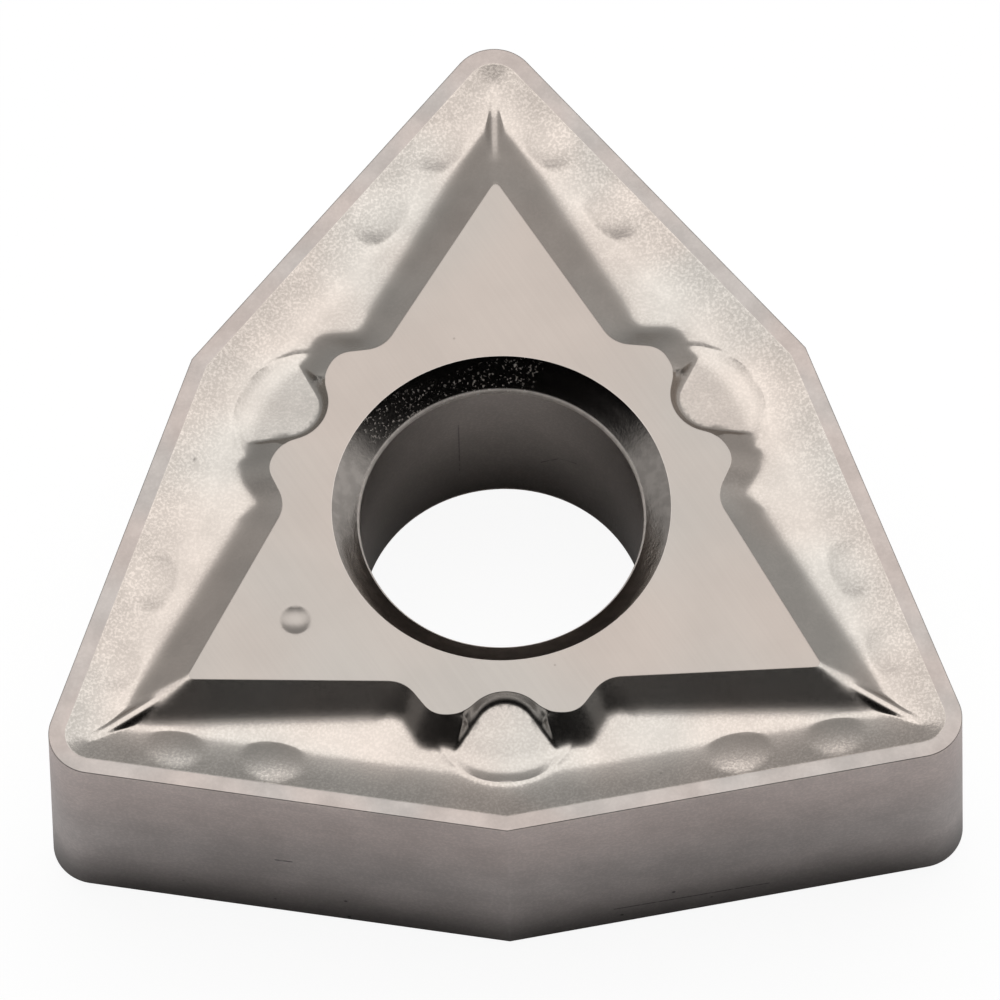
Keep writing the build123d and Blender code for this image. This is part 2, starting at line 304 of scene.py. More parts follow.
class FaceForm:
    """Shape of one face in millimetres, for the half of a nose right of +Y.

    Heights count from the land. The cutting edge of this half runs from the blunt
    corner, at its own direction, up to the nose on +Y.
    """

    def __init__(self, scene):
        for group in SIZE_GROUPS:
            sizes = getattr(scene, group.__name__.lower())
            for name in group.__annotations__:
                value = getattr(sizes, name)
                is_length = not name.endswith(("angle", "fall", "flare", "lean", "spread"))
                setattr(self, name, value / MM if is_length else value)
        self.half_circle = self.inscribed_circle / 2
        self.half_nose = self.nose_angle / 2
        self.half_blunt = radians(120) - self.half_nose
        self.nose_reach = self.half_circle / sin(self.half_nose)
        self.blunt_reach = self.half_circle / sin(self.half_blunt)
        self.nose_centre = self.nose_reach - self.nose_radius / sin(self.half_nose)
        self.edge_start = self.half_circle * tan(pi / 2 - self.half_blunt)
        self.edge_out = np.array([cos(self.half_nose), sin(self.half_nose)])
        self.edge_run = np.array([-sin(self.half_nose), cos(self.half_nose)])
        self.blunt_out = np.array([cos(BLUNT_TURN), sin(BLUNT_TURN)])
        self.blunt_side = np.array([-sin(BLUNT_TURN), cos(BLUNT_TURN)])
        self.tip_reach = self.nose_reach - self.lobe_tip_inset / sin(self.half_nose)
        self.boss_reach = self.blunt_reach - self.boss_inset
        self.pocket_reach = self.blunt_reach - self.pocket_inset
        self.dish_reach = self.blunt_reach - self.dish_inset
        self.edge_height = self.thickness / 2 - self.seat_rise
        self.groove_knots = np.array([
            0.0, self.land_width - self.land_round, self.land_width + self.land_round,
            self.rake_end, self.turn_start, self.turn_end,
            self.floor_end - self.floor_round, self.floor_end + self.floor_round, self.nose_reach,
        ])
        self.groove_slopes = np.array([
            0.0, 0.0, -tan(self.rake_angle), -tan(self.rake_angle), -tan(self.inner_rake_angle),
            tan(self.floor_angle), tan(self.floor_angle), 0.0, 0.0,
        ])

    def edge_point(self, station, inset):
        """Plan point by its station along the cutting edge and its inset from it."""
        run = station - self.edge_start
        return (self.half_circle - inset) * self.edge_out + run * self.edge_run

    def inset(self, x, y):
        """Distance inward from the outline, round the nose radius too."""
        from_edge = self.half_circle - (x * self.edge_out[0] + y * self.edge_out[1])
        past_round = x * self.edge_run[0] + (y - self.nose_centre) * self.edge_run[1] > 0
        from_round = self.nose_radius - np.hypot(x, y - self.nose_centre)
        return np.where(past_round, np.maximum(from_round, 0), from_edge)

    def groove(self, inset):
        """Section of the chip groove: level land, rake, round bottom, rising floor."""
        knots, slopes = self.groove_knots, self.groove_slopes
        steps = np.diff(knots)
        heights = np.concatenate([[0], np.cumsum((slopes[1:] + slopes[:-1]) / 2 * steps)])
        k = np.clip(np.searchsorted(knots, inset, side="right") - 1, 0, len(steps) - 1)
        past = inset - knots[k]
        bend = (slopes[k + 1] - slopes[k]) / steps[k]
        return heights[k] + past * (slopes[k] + past * bend / 2)

    def seat(self, x, y):
        """Walls of the raised seat, before its face is ground flat."""
        half_lobe = self.lobe_angle / 2
        lobe_line = self.tip_reach * sin(half_lobe)
        past_right = x * cos(half_lobe) + y * sin(half_lobe) - lobe_line
        past_left = -x * cos(half_lobe) + y * sin(half_lobe) - lobe_line
        run = np.clip((y - self.tip_reach) / self.ridge_run, 0, 1)
        softness = self.tip_blend + (self.ridge_blend - self.tip_blend) * run
        past_lobe = soft_max(past_right, past_left, softness)
        along, aside = self.blunt_place(x, y)
        past_front = along - self.boss_reach
        past_flank = past_front * sin(self.boss_flank_angle) + (
            aside - self.boss_half_width
        ) * cos(self.boss_flank_angle)
        past_boss = soft_max(past_front, past_flank, self.boss_blend)
        in_pocket = self.pocket_reach_in(along, aside)
        past_seat = soft_min(past_lobe, past_boss, self.notch_blend)
        fall = between(
            tan(self.lobe_wall_angle), tan(self.boss_wall_angle),
            past_lobe - past_boss, self.notch_blend,
        )
        near = np.maximum(self.horn_blend - np.abs(in_pocket - past_seat), 0)
        down = np.maximum(past_seat, in_pocket) / self.horn_blend
        round_off = near * near / (4 * self.horn_blend) * np.clip(1 - down, 0, 1) ** 2
        boss_wall = -(past_seat + round_off) * fall
        pocket_wall = -(in_pocket + round_off) * tan(self.wall_angle)
        return self.seat_rise + soft_min(boss_wall, pocket_wall, self.edge_blend)

    def blunt_place(self, x, y):
        """Reach along the line through the blunt corner, and distance aside from it."""
        along = x * self.blunt_out[0] + y * self.blunt_out[1]
        return along, np.abs(x * self.blunt_side[0] + y * self.blunt_side[1])

    def pocket_reach_in(self, along, aside):
        """Plan distance into a pocket from its rim, a round back that flares out."""
        past = along - self.pocket_reach
        from_round = self.pocket_radius - np.hypot(past, aside)
        from_side = (
            self.pocket_radius + past * sin(self.pocket_flare) - aside * cos(self.pocket_flare)
        )
        in_mouth = past * cos(self.pocket_flare) + aside * sin(self.pocket_flare) > 0
        return np.where(in_mouth, from_side, from_round)

    def crest(self, x, y):
        """Narrow crest from the foot of the lobe tip down to the nose."""
        past_tip = y - self.tip_reach
        long_line = -self.crest_drop - past_tip * tan(self.crest_fall)
        end_line = -self.crest_end_drop + past_tip * tan(self.crest_rise_angle)
        top = self.seat_rise + soft_max(long_line, end_line, self.crest_blend)
        beside = np.abs(x) - self.crest_width / 2
        softness = self.crest_width / 3
        side = -soft_max(beside, 0 * beside, softness) * tan(self.crest_side_angle)
        return np.where(past_tip < 0, -self.thickness, top + side)

    def bump(self, x, y, station, inset):
        """Part of a ball that stands out of the rake as one chip bump."""
        centre = self.edge_point(station, inset - self.bump_radius * sin(self.bump_lean))
        across = (x - centre[0]) ** 2 + (y - centre[1]) ** 2
        ball = np.sqrt(np.maximum(self.bump_radius**2 - across, 0))
        return ball - self.crown_depth - self.bump_radius

    def dish(self, x, y):
        """Dished floor of a pocket."""
        along, aside = self.blunt_place(x, y)
        out = along - self.dish_reach
        past_flat = np.maximum(np.hypot(out, aside / self.dish_spread) - self.dish_flat, 0)
        past_lip = np.maximum(np.hypot(out, aside) - self.bead_radius, 0)
        bowl = past_flat**2 / (2 * self.dish_radius) + past_lip * tan(self.lip_angle)
        return bowl - out * tan(self.dish_fall) - self.dish_depth

    def bead(self, x, y):
        """Small bead along the lip of the dished floor."""
        along, aside = self.blunt_place(x, y)
        off = np.hypot(along - self.dish_reach, aside) - self.bead_radius
        reach = np.where(off > 0, self.bead_width, self.bead_run)
        fade = np.clip((self.boss_half_width - aside) / self.bead_run, 0, 1)
        return self.bead_rise * fade * fade * (3 - 2 * fade) * np.exp(-((off / reach) ** 2))

    def pressed(self, x, y):
        """Height of everything pressed, before the seat is ground flat."""
        groove = self.groove(self.inset(x, y))
        along, aside = self.blunt_place(x, y)
        from_middle = np.hypot(along - self.dish_reach, aside)
        dish = self.dish(x, y)
        past_reach = from_middle - self.tongue_reach
        beyond = soft_max(-self.pocket_reach_in(along, aside), past_reach, self.tongue_blend)
        tongue = np.minimum(dish, 0) - np.maximum(beyond, 0) * tan(self.tongue_angle)
        bottom = soft_min(groove, dish, self.lip_blend)
        bottom = soft_max(bottom, tongue, self.lip_blend) + self.bead(x, y)
        share = np.clip(2 * (self.bead_radius - from_middle) / self.bead_radius, 0, 1)
        blend = self.foot_blend + (self.wall_blend - self.foot_blend) * share
        height = soft_max(bottom, self.seat(x, y), blend)
        height = soft_max(height, self.crest(x, y), self.crest_blend)
        for station, bump_inset in (
            (self.blunt_station, self.blunt_inset),
            (self.nose_station, self.nose_inset),
        ):
            cap = self.bump(x, y, station, bump_inset)
            height = soft_max(height, cap, self.bump_blend)
        return height

    def mark(self, x, y):
        """Depth of the round mark, a shallow ball-shaped dimple on the lobe."""
        ball = (self.mark_radius**2 + self.mark_depth**2) / (2 * self.mark_depth)
        across = np.minimum(x**2 + (y - self.mark_reach) ** 2, ball**2)
        sunk = ball - self.mark_depth - np.sqrt(ball**2 - across)
        return soft_min(sunk, 0 * x, self.mark_blend)

    def height(self, x, y):
        """Height of the finished face over the land."""
        return soft_min(self.pressed(x, y), 0 * x + self.seat_rise, self.rim_blend)


class WedgeMesh:
    """Mesh of one twelfth of the insert: half a nose, from the face to mid-thickness."""

    # Columns along the edge: near the blunt corner, evenly along it, and round the nose
    corner_stations = (0.0, 0.03, 0.07, 0.13)
    even_start, even_stop_short, even_count = 0.21, 0.07, 94
    last_stop_short = 0.03
    corner_fade = 1.0
    round_count = 21
    # Rows from the rake over the land and the honed edge down the flank
    land_join = 0.36
    land_insets = (0.33, 0.315, 0.30, 0.285, 0.27, 0.24, 0.15)
    rake_rows = 3
    hone_gap = 0.02
    hone_steps = 4
    flank_shares = (0.04, 0.3, 1.0)
    # Rows and columns of the bore
    seat_join = 0.03
    rim_steps = 4
    cone_shares = (0.33, 0.66)
    bore_steps = 6
    wall_shares = (0.03, 0.35, 1.0)
    bore_count = 41
    # Lattice of the face: widest spacing, halvings, and the bend that calls for each
    coarse = 0.112
    levels = 4
    bend_limits = (0.0, 0.07, 0.10, 0.20)
    lattice_reach = 9.5
    axis_share = 0.4
    edge_share = 0.45
    # Rows beside the rim of the seat, and the clearance that the lattice keeps from them
    rim_offsets = (-0.03, -0.008, 0.0, 0.008, 0.022, 0.036, 0.05, 0.065, 0.082, 0.102, 0.125)
    rim_search = (3.3, 7.2)
    rim_count = 721
    rim_halvings = 40
    rim_spacing = 0.04
    rim_clear_inside = 0.045
    rim_clear_outside = 0.015
    side_clear = 0.012
    side_spacing = 0.05
    seat_slack = 0.004
    weld = 1e-7

    def __init__(self, form):
        self.form = form
        self.points = []
        self.faces = []
        self.finishes = []
        self.mid = -form.edge_height
        self.stations()
        self.outer_strip()
        self.bore_strip()
        self.face_field()

    def add_rows(self, rows, finish_of_row):
        """Quads between rows of points that run side by side."""
        rows = [np.asarray(row) for row in rows]
        first = sum(len(p) for p in self.points)
        width = len(rows[0])
        self.points.extend(rows)
        for number in range(len(rows) - 1):
            low = first + number * width
            for column in range(width - 1):
                a = low + column
                self.faces.append((a, a + width, a + 1 + width, a + 1))
                self.finishes.append(finish_of_row(number))

    def stations(self):
        """Columns along the cutting edge, from the blunt corner round the nose."""
        form = self.form
        straight = form.half_circle / tan(form.half_nose) + form.edge_start
        straight -= form.nose_radius / tan(form.half_nose)
        along = np.linspace(self.even_start, straight - self.even_stop_short, self.even_count)
        self.straight_stations = np.concatenate([
            self.corner_stations, along, [straight - self.last_stop_short, straight],
        ])
        self.round_turns = np.linspace(0, pi / 2 - form.half_nose, self.round_count)[1:]

    def edge_row(self, inset, height):
        """Row of points at one inset from the edge; height is a number or a rule."""
        form = self.form
        fade = np.clip(1 - self.straight_stations / self.corner_fade, 0, 1)
        stations = self.straight_stations + inset * tan(pi / 2 - form.half_blunt) * fade
        run = (stations - form.edge_start)[:, None] * form.edge_run
        straight = (form.half_circle - inset) * form.edge_out + run
        turn = form.half_nose + self.round_turns
        reach = form.nose_radius - inset
        round_part = np.stack([np.cos(turn), np.sin(turn)], 1) * reach
        round_part[:, 1] += form.nose_centre
        round_part[-1, 0] = 0
        plan = np.concatenate([straight, round_part])
        z = height(plan[:, 0], plan[:, 1]) if callable(height) else np.full(len(plan), height)
        return np.column_stack([plan, z])

    def outer_strip(self):
        """Land, honed cutting edge and flank."""
        form = self.form
        rows = [self.edge_row(inset, form.height) for inset in (self.land_join, *self.land_insets)]
        rows.append(self.edge_row(form.edge_hone + self.hone_gap, 0.0))
        for step in range(self.hone_steps + 1):
            turn = step * pi / 2 / self.hone_steps
            inset = form.edge_hone * (1 - sin(turn))
            rows.append(self.edge_row(inset, -form.edge_hone * (1 - cos(turn))))
        land_rows = len(rows) - 2
        for share in self.flank_shares:
            rows.append(self.edge_row(0.0, -form.edge_hone + share * (self.mid + form.edge_hone)))

        def finish(number):
            """Finish of the faces that follow a row."""
            if number < self.rake_rows:
                return GROOVE
            return LAND if number < land_rows else FLANK

        self.add_rows(rows, finish)

    def bore_row(self, radius, height):
        """Row of points round the bore."""
        turn = np.linspace(BLUNT_TURN, pi / 2, self.bore_count)
        row = np.column_stack([radius * np.cos(turn), radius * np.sin(turn), 0 * turn + height])
        row[-1, 0] = 0
        return row

    def bore_strip(self):
        """Rounded countersink rim, cone, rounded bore edge and bore wall."""
        form = self.form
        rim = np.array([form.sink_diameter / 2, form.seat_rise])
        throat = np.array([form.bore_diameter / 2, form.seat_rise - form.sink_depth])
        inward = (throat - rim) / np.linalg.norm(throat - rim)
        profile = [rim + np.array([self.seat_join, 0])]
        profile += rounded(rim, np.array([1.0, 0]), inward, form.rim_round, self.rim_steps)
        cone_end = throat - inward * form.bore_round
        cone_start = rim + inward * form.rim_round
        profile += [cone_start + (cone_end - cone_start) * s for s in self.cone_shares]
        profile += rounded(throat, -inward, np.array([0, -1.0]), form.bore_round, self.bore_steps)
        wall_top = profile[-1][1]
        wall_rows = len(profile)
        for share in self.wall_shares:
            profile.append(np.array([throat[0], wall_top + share * (self.mid - wall_top)]))
        rows = [self.bore_row(radius, height) for radius, height in profile]

        def finish(number):
            """Finish of the faces that follow a point of the profile."""
            if number < 1:
                return SEAT
            return COUNTERSINK if number < wall_rows - 1 else BORE

        self.add_rows(rows[::-1], lambda number: finish(len(rows) - 2 - number))

    def lattice(self):
        """Points of a triangular lattice, finer where the face bends more."""
        form = self.form
        fine = self.coarse / 2 ** (self.levels - 1)
        count_x = int(self.lattice_reach / fine)
        count_y = int(self.lattice_reach / fine / (sqrt(3) / 2))
        i, j = np.meshgrid(np.arange(-count_y // 2, count_x), np.arange(count_y))
        x, y = (i + j / 2) * fine, j * fine * sqrt(3) / 2
        inside = (x > self.axis_share * fine) & (np.arctan2(y, x) > BLUNT_TURN) & (y > 0)
        i, j, x, y = i[inside], j[inside], x[inside], y[inside]
        aside = x * form.blunt_side[0] + y * form.blunt_side[1]
        reach = np.hypot(x, y)
        rim = form.sink_diameter / 2 + self.seat_join
        level = np.full_like(i, self.levels - 1)
        for number in range(self.levels - 2, -1, -1):
            every = 2 ** (self.levels - 1 - number)
            level[(i % every == 0) & (j % every == 0)] = number
        gap = self.edge_share * self.coarse / 2.0 ** level
        clear = (
            (x > gap) & (aside > gap) & (reach > rim + gap)
            & (form.inset(x, y) > self.land_join + gap)
        )
        x, y, level = x[clear], y[clear], level[clear]
        keep = level == 0
        for number in range(1, self.levels):
            near = level <= number
            bend = self.bend(x[near], y[near], self.coarse / 2.0 ** number)
            keep[near] |= bend > self.bend_limits[number]
        return x[keep], y[keep]

    def bend(self, x, y, spacing):
        """Largest change of slope over one spacing, in three directions."""
        form = self.form
        here = form.height(x, y) + form.mark(x, y)
        most = np.zeros_like(x)
        for turn in (0, pi / 3, 2 * pi / 3):
            dx, dy = spacing * cos(turn), spacing * sin(turn)
            ahead = form.height(x + dx, y + dy) + form.mark(x + dx, y + dy)
            behind = form.height(x - dx, y - dy) + form.mark(x - dx, y - dy)
            most = np.maximum(most, np.abs(ahead + behind - 2 * here) / spacing)
        return most

    def seat_rim_rows(self):
        """Points that follow the rim of the seat, in close rows on both sides of it."""
        form = self.form
        turn = np.linspace(BLUNT_TURN, pi / 2, self.rim_count)
        low, high = (np.full_like(turn, reach) for reach in self.rim_search)
        for _ in range(self.rim_halvings):
            middle = (low + high) / 2
            over = form.pressed(middle * np.cos(turn), middle * np.sin(turn)) > form.seat_rise
            low, high = np.where(over, middle, low), np.where(over, high, middle)
        plan = np.column_stack([low * np.cos(turn), low * np.sin(turn)])
        travel = np.concatenate([[0], np.cumsum(np.hypot(*np.diff(plan, axis=0).T))])
        even = np.linspace(0, travel[-1], int(travel[-1] / self.rim_spacing))
        line = np.column_stack([np.interp(even, travel, plan[:, k]) for k in (0, 1)])
        along = np.gradient(line, axis=0)
        along /= np.linalg.norm(along, axis=1)[:, None]
        outward = np.column_stack([along[:, 1], -along[:, 0]])
        self.rim_line = line
        return [line + outward * offset for offset in self.rim_offsets]

    def face_field(self):
        """Triangles between the land and the countersink, over grooves and seat."""
        form = self.form
        outer = self.edge_row(self.land_join, 0.0)[:, :2]
        inner = self.bore_row(form.sink_diameter / 2 + self.seat_join, 0.0)[::-1, :2]
        x, y = self.lattice()
        rim_rows = np.concatenate(self.seat_rim_rows())
        offsets = np.array(self.rim_offsets)
        nose_rows = outer[-1, 1] - (self.rim_line[-1, 1] + offsets)
        blunt_rows = np.linalg.norm(self.rim_line[0]) + offsets - np.linalg.norm(inner[-1])
        nose_line = side_line(outer[-1], inner[0], self.side_spacing, nose_rows[::-1])
        blunt_line = side_line(inner[-1], outer[0], self.side_spacing, blunt_rows)
        painted_highlight = np.concatenate([outer, nose_line, inner, blunt_line])
        from_sides = np.minimum(rim_rows[:, 0], rim_rows @ form.blunt_side)
        rim_rows = rim_rows[from_sides > self.side_clear]
        over = form.pressed(x, y) > form.seat_rise
        clear_outside = self.rim_offsets[-1] + self.rim_clear_outside
        clear = np.where(over, self.rim_clear_inside, clear_outside)
        far = nearest(np.column_stack([x, y]), self.rim_line) > clear
        inner_points = np.concatenate([np.column_stack([x, y])[far], rim_rows])
        plan = np.concatenate([painted_highlight, inner_points])
        verts, _, faces, _, _, _ = delaunay_2d_cdt(
            [Vector(p) for p in plan], [], [list(range(len(painted_highlight)))], 1, self.weld
        )
        plan = np.array([tuple(v) for v in verts])
        z = form.height(plan[:, 0], plan[:, 1])
        first = sum(len(p) for p in self.points)
        self.points.append(np.column_stack([plan, z]))
        seat = form.pressed(plan[:, 0], plan[:, 1]) >= form.seat_rise - self.seat_slack
        for face in faces:
            a, b, c = (plan[k] for k in face)
            turn = (b[0] - a[0]) * (c[1] - a[1]) - (b[1] - a[1]) * (c[0] - a[0])
            order = face if turn > 0 else face[::-1]
            self.faces.append(tuple(first + k for k in order))
            self.finishes.append(SEAT if all(seat[k] for k in face) else GROOVE)

    def to_mesh(self, name):
        """Blender mesh in metres, with the finish of each face as an attribute."""
        points = np.concatenate(self.points)
        points[:, 2] += self.form.edge_height
        mesh = bpy.data.meshes.new(name)
        mesh.from_pydata((points * MM).tolist(), [], self.faces)
        layer = mesh.attributes.new("finish", "INT", "FACE")
        layer.data.foreach_set("value", self.finishes)
        inset = mesh.attributes.new(INSET, "FLOAT", "POINT")
        inset.data.foreach_set("value", self.form.inset(points[:, 0], points[:, 1]) * MM)
        mesh.update()
        return mesh


def rounded(corner, back, on, cut, steps):
    """Points of a small round between two directions that leave a corner."""
    start, end = corner + back * cut, corner + on * cut
    shares = np.linspace(0, 1, steps + 1)
    return [(1 - s) ** 2 * start + 2 * s * (1 - s) * corner + s * s * end for s in shares]


def side_line(start, end, spacing, rows):
    """Points between two plan points: one on every row that crosses, even elsewhere."""
    whole = np.linalg.norm(end - start)
    even = np.linspace(0, whole, int(whole / spacing) + 1)[1:-1]
    clear = np.abs(even[:, None] - rows[None, :]).min(axis=1) > spacing / 2
    places = np.sort(np.concatenate([even[clear], rows]))
    return start + (end - start) * (places / whole)[:, None]


def nearest(points, line, batch=40):
    """Distance from each point to the nearest point of a line, taken in batches."""
    best = np.full(len(points), np.inf)
    for start in range(0, len(line), batch):
        part = line[start:start + batch]
        gap = points[:, None, :] - part[None, :, :]
        best = np.minimum(best, np.hypot(gap[..., 0], gap[..., 1]).min(axis=1))
    return best


def feed(tree, socket, value):
    """Gives a socket a value, or links it to another socket."""
    if isinstance(value, bpy.types.NodeSocket):
        tree.links.new(value, socket)
    else:
        socket.default_value = value


def add_node(tree, kind, inputs=None, **settings):
    """Adds a node. Inputs go by socket name or number, to a value or to another socket."""
    node = tree.nodes.new(kind)
    for name, value in settings.items():
        setattr(node, name, value)
    for key, value in (inputs or {}).items():
        feed(tree, node.inputs[key], value)
    return node


def smooth_step(tree, value, start, end):
    """Socket that eases from 0 at start to 1 at end."""
    node = add_node(
        tree, "ShaderNodeMapRange", {"Value": value, "From Min": start, "From Max": end},
        interpolation_type="SMOOTHSTEP",
    )
    return node.outputs["Result"]


def blend_values(tree, share, low, high):
    """Socket that goes from low to high with share."""
    node = add_node(
        tree, "ShaderNodeMapRange", {"Value": share, "To Min": low, "To Max": high}
    )
    return node.outputs["Result"]


def calculate(tree, operation, *values):
    """Socket with the result of a calculation with one or two values."""
    node = add_node(tree, "ShaderNodeMath", dict(enumerate(values)), operation=operation)
    return node.outputs[0]


def product(tree, first, second):
    """Socket with the product of two values."""
    return calculate(tree, "MULTIPLY", first, second)


def ratio(tree, first, second):
    """Socket with one value over another."""
    return calculate(tree, "DIVIDE", first, second)


def total(tree, first, *rest):
    """Socket with the sum of several values."""
    for value in rest:
        first = calculate(tree, "ADD", first, value)
    return first


def with_vectors(tree, operation, *vectors):
    """Socket with what a vector operation gives, a vector or a value."""
    node = add_node(
        tree, "ShaderNodeVectorMath", dict(enumerate(vectors)), operation=operation
    )
    gives_value = operation in ("DOT_PRODUCT", "DISTANCE", "LENGTH")
    return node.outputs["Value" if gives_value else "Vector"]


def scaled(tree, vector, factor):
    """Socket with a vector made longer by a factor."""
    node = add_node(
        tree, "ShaderNodeVectorMath", {0: vector, "Scale": factor}, operation="SCALE"
    )
    return node.outputs["Vector"]


def join(tree, *parts):
    """Joins several geometries."""
    node = tree.nodes.new("GeometryNodeJoinGeometry")
    for part in reversed(parts):
        tree.links.new(part, node.inputs["Geometry"])
    return node.outputs["Geometry"]


def with_mirror(tree, geometry, scale):
    """The geometry and its mirror image, whose faces are turned outwards again."""
    image = add_node(tree, "GeometryNodeTransform", {"Geometry": geometry, "Scale": scale})
    outward = add_node(tree, "GeometryNodeFlipFaces", {"Mesh": image.outputs["Geometry"]})
    return join(tree, geometry, outward.outputs["Mesh"])


def symmetry_tree():
    """Geometry Nodes tree that repeats one wedge over the noses and both faces."""
    tree = bpy.data.node_groups.new("Insert from one wedge", "GeometryNodeTree")
    sockets = tree.interface
    sockets.new_socket("Wedge", in_out="INPUT", socket_type="NodeSocketGeometry")
    sockets.new_socket("Noses", in_out="INPUT", socket_type="NodeSocketInt")
    sockets.new_socket("Weld distance", in_out="INPUT", socket_type="NodeSocketFloat")
    for finish in FINISHES:
        sockets.new_socket(finish, in_out="INPUT", socket_type="NodeSocketMaterial")
    sockets.new_socket("Insert", in_out="OUTPUT", socket_type="NodeSocketGeometry")
    given = tree.nodes.new("NodeGroupInput").outputs
    nose = with_mirror(tree, given["Wedge"], (-1, 1, 1))
    nose = with_mirror(tree, nose, (1, 1, -1))
    points = add_node(tree, "GeometryNodePoints", {"Count": given["Noses"]})
    index = tree.nodes.new("GeometryNodeInputIndex").outputs[0]
    turn = product(tree, ratio(tree, index, given["Noses"]), 2 * pi)
    euler = add_node(tree, "ShaderNodeCombineXYZ", {"Z": turn})
    rotation = add_node(tree, "FunctionNodeEulerToRotation", {"Euler": euler.outputs[0]})
    noses = add_node(
        tree, "GeometryNodeInstanceOnPoints",
        {"Points": points.outputs[0], "Instance": nose, "Rotation": rotation.outputs[0]},
    )
    real = add_node(tree, "GeometryNodeRealizeInstances", {"Geometry": noses.outputs[0]})
    welded = add_node(
        tree, "GeometryNodeMergeByDistance",
        {"Geometry": real.outputs[0], "Distance": given["Weld distance"]},
    )
    smooth = add_node(tree, "GeometryNodeSetShadeSmooth", {"Geometry": welded.outputs[0]})
    finished = smooth.outputs[0]
    face_finish = add_node(
        tree, "GeometryNodeInputNamedAttribute", {"Name": "finish"}, data_type="INT"
    )
    for number, finish in enumerate(FINISHES):
        here = add_node(
            tree, "FunctionNodeCompare", {2: face_finish.outputs[0], 3: number},
            data_type="INT", operation="EQUAL",
        )
        finished = add_node(
            tree, "GeometryNodeSetMaterial",
            {"Geometry": finished, "Selection": here.outputs[0], "Material": given[finish]},
        ).outputs[0]
    result = tree.nodes.new("NodeGroupOutput")
    tree.links.new(finished, result.inputs["Insert"])
    return tree


def press_mark(mesh, form):
    """Sinks the round mark into the lobe at its direction, on both faces."""
    places = np.empty(len(mesh.vertices) * 3, np.float32)
    mesh.vertices.foreach_get("co", places)
    places = places.reshape(-1, 3).astype(float)
    along = (places[:, 0] * cos(MARK_TURN) + places[:, 1] * sin(MARK_TURN)) / MM
    aside = (places[:, 0] * sin(MARK_TURN) - places[:, 1] * cos(MARK_TURN)) / MM
    on_seat = np.abs(np.abs(places[:, 2]) - form.thickness / 2 * MM) < SEAT_TOLERANCE
    sink = np.where(on_seat, form.mark(aside, along), 0) * MM
    places[:, 2] += np.sign(places[:, 2]) * sink
    mesh.vertices.foreach_set("co", places.astype(np.float32).ravel())
    mesh.update()


def shader_group(name, inputs, outputs, kind="Float"):
    """New shader group with named sockets; returns it, its inputs and its outputs."""
    tree = bpy.data.node_groups.new(name, "ShaderNodeTree")
    for label, value in inputs.items():
        socket = tree.interface.new_socket(
            label, in_out="INPUT", socket_type="NodeSocket" + SOCKET_KINDS[np.size(value)]
        )
        socket.default_value = value
    for label in outputs:
        tree.interface.new_socket(label, in_out="OUTPUT", socket_type="NodeSocket" + kind)
    given = tree.nodes.new("NodeGroupInput").outputs
    return tree, given, tree.nodes.new("NodeGroupOutput").inputs


def noise(tree, place, size, detail, roughness=0.5):
    """Socket with soft noise whose features have about the given size."""
    scale = ratio(tree, 1.0, size)
    inputs = {"Vector": place, "Scale": scale, "Detail": detail, "Roughness": roughness}
    return add_node(tree, "ShaderNodeTexNoise", inputs).outputs[0]


def grain_group():
    """Grain of the sintered surface: bright flecks, and the small hills that make them."""
    tree, given, result = shader_group(
        "Sintered grain", {"Place": ORIGIN, "Size": 4e-5}, ("Fleck", "Hills")
    )
    hills = noise(tree, given["Place"], given["Size"], detail=2.0, roughness=0.6)
    tree.links.new(smooth_step(tree, hills, 0.42, 0.66), result["Fleck"])
    tree.links.new(hills, result["Hills"])
    return tree


def patches_group():
    """Broad uneven patches that make a surface lighter and warmer here and there."""
    tree, given, result = shader_group(
        "Uneven patches", {"Place": ORIGIN, "Size": 1e-3}, ("Light", "Warmth")
    )
    light = noise(tree, given["Place"], given["Size"], detail=3.0)
    tree.links.new(smooth_step(tree, light, 0.32, 0.68), result["Light"])
    elsewhere = with_vectors(tree, "ADD", given["Place"], WARMTH_SHIFT)
    wider = noise(tree, elsewhere, product(tree, given["Size"], WARMTH_SPREAD), detail=1.0)
    tree.links.new(smooth_step(tree, wider, 0.36, 0.64), result["Warmth"])
    return tree


def grinding_group():
    """Fine straight lines that a grinding wheel leaves on a flat face."""
    tree, given, result = shader_group(
        "Grinding lines", {"Place": ORIGIN, "Direction": 0.0, "Spacing": 5e-5, "Run": 3e-3},
        ("Lines",),
    )
    turned = add_node(
        tree, "ShaderNodeVectorRotate", {"Vector": given["Place"], "Angle": given["Direction"]},
        rotation_type="Z_AXIS",
    )
    along, across = ratio(tree, 1.0, given["Run"]), ratio(tree, 1.0, given["Spacing"])
    scale = add_node(tree, "ShaderNodeCombineXYZ", {"X": along, "Y": across, "Z": across})
    stretched = with_vectors(tree, "MULTIPLY", turned.outputs[0], scale.outputs[0])
    lines = noise(tree, stretched, 1.0, detail=2.0)
    tree.links.new(smooth_step(tree, lines, 0.35, 0.65), result["Lines"])
    return tree


def pits_group():
    """Scattered small pits, in a share of the cells of a loose net."""
    tree, given, result = shader_group(
        "Small pits", {"Place": ORIGIN, "Spacing": 4e-4, "Radius": 3e-5, "Share": 0.1}, ("Pit",)
    )
    cells = add_node(
        tree, "ShaderNodeTexVoronoi",
        {"Vector": given["Place"], "Scale": ratio(tree, 1.0, given["Spacing"])},
    )
    away = product(tree, cells.outputs["Distance"], given["Spacing"])
    inside = smooth_step(tree, away, given["Radius"], product(tree, given["Radius"], PIT_CORE))
    chance = add_node(tree, "ShaderNodeSeparateColor", {0: cells.outputs["Color"]}).outputs[0]
    chosen = calculate(tree, "LESS_THAN", chance, given["Share"])
    tree.links.new(product(tree, inside, chosen), result["Pit"])
    return tree


